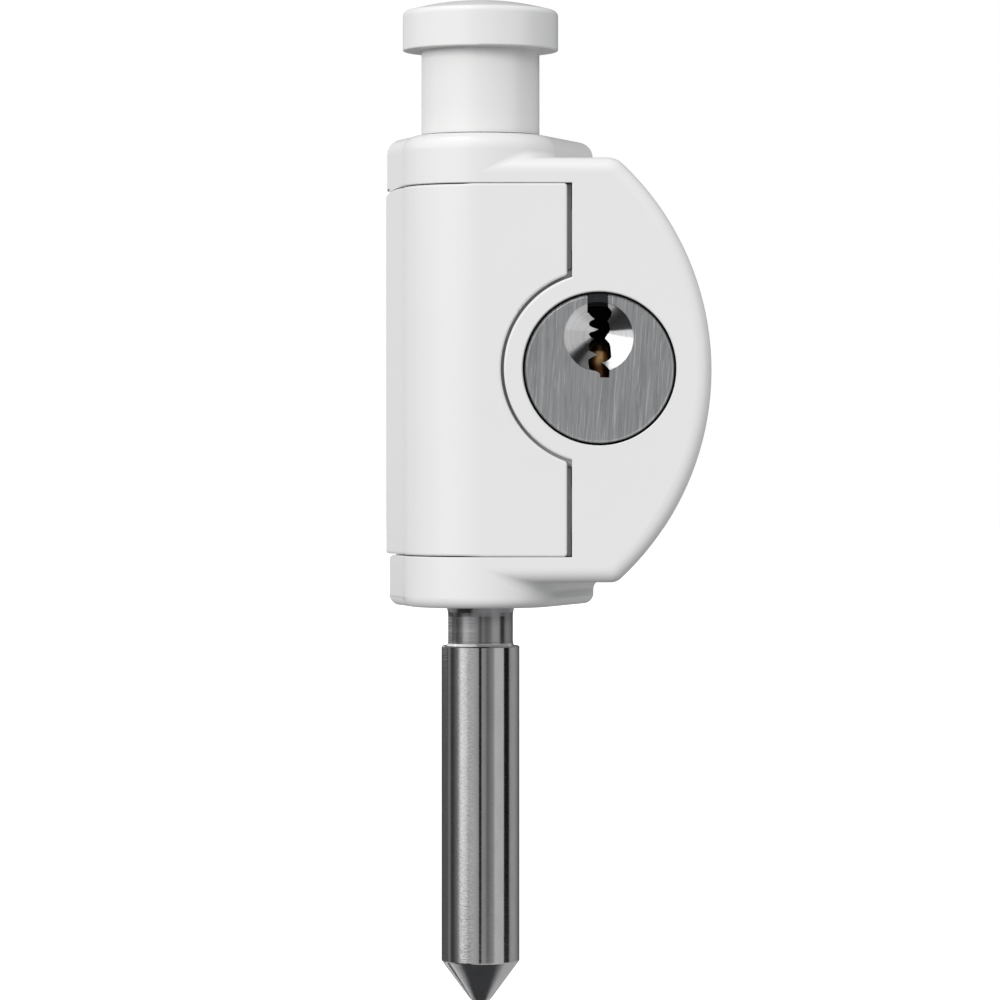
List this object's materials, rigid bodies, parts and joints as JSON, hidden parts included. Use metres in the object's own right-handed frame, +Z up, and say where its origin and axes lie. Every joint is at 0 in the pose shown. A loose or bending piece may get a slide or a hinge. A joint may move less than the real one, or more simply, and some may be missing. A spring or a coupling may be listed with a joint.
{
  "type": "sliding window lock",
  "caption": "Key-operated push lock for a sliding window: white case with a half-moon side, key cylinder, removable screw cover, push knob and pointed steel bolt.",
  "frame": {"origin": "middle of the case's flat back face, behind the bolt, at the height of the key cylinder's axis", "axes": "+X to the half-moon side, +Y out of the back face towards the frame it is screwed to, +Z up along the bolt towards the knob"},
  "size_m": [0.0415, 0.022, 0.1285],
  "materials": {
    "white_paint": "gloss white powder coat",
    "polished_steel": "turned and polished",
    "brushed_nickel": "vertically brushed satin nickel",
    "brass": "machined",
    "zinc_plate": "zinc plated steel",
    "spring_steel": "drawn wire and stamped strip",
    "dark_nylon": "moulded nylon"
  },
  "bodies": {
    "case": {"housing": "white_paint", "back_plate": "zinc_plate", "back_plate_screws": "zinc_plate", "upper_guide_bush": "dark_nylon", "lower_guide_bush": "dark_nylon", "cylinder_body": "brass", "cylinder_retainer": "zinc_plate", "driver_pins": "brass", "pin_springs": "spring_steel", "chamber_plugs": "brass", "return_spring": "spring_steel"},
    "bolt_set": {"knob": "white_paint", "bolt": "polished_steel", "stop_washer": "dark_nylon", "bolt_e_clip": "spring_steel"},
    "plug_set": {"plug": "brushed_nickel", "key_pins": "brass", "scroll_cam": "zinc_plate", "cam_screw": "zinc_plate"},
    "latch_set": {"latch": "zinc_plate", "follower_pin": "polished_steel"},
    "cover_set": {"screw_cover": "white_paint"}
  },
  "joints": [
    {"name": "bolt_slide", "type": "slide", "parent": "case", "child": "bolt_set", "axis": [0, 0, -1], "range_m": [0, 0.0095], "stiffness_N_per_m": 400, "springref_m": -0.012, "deforming": ["return_spring"]},
    {"name": "plug_turn", "type": "hinge", "parent": "case", "child": "plug_set", "pos_m": [0.01505, -0.012, 0], "axis": [0, 1, 0], "range_deg": [0, 90]},
    {"name": "latch_slide", "type": "slide", "parent": "case", "child": "latch_set", "axis": [-1, 0, 0], "range_m": [0, 0.0028]},
    {"name": "cover_slide", "type": "slide", "parent": "case", "child": "cover_set", "axis": [-1, 0, 0], "range_m": [0, 0.026]}
  ],
  "couplings": [
    {"joint": "latch_slide", "follows": "plug_turn", "m_per_rad": 0.0017825}
  ]
}
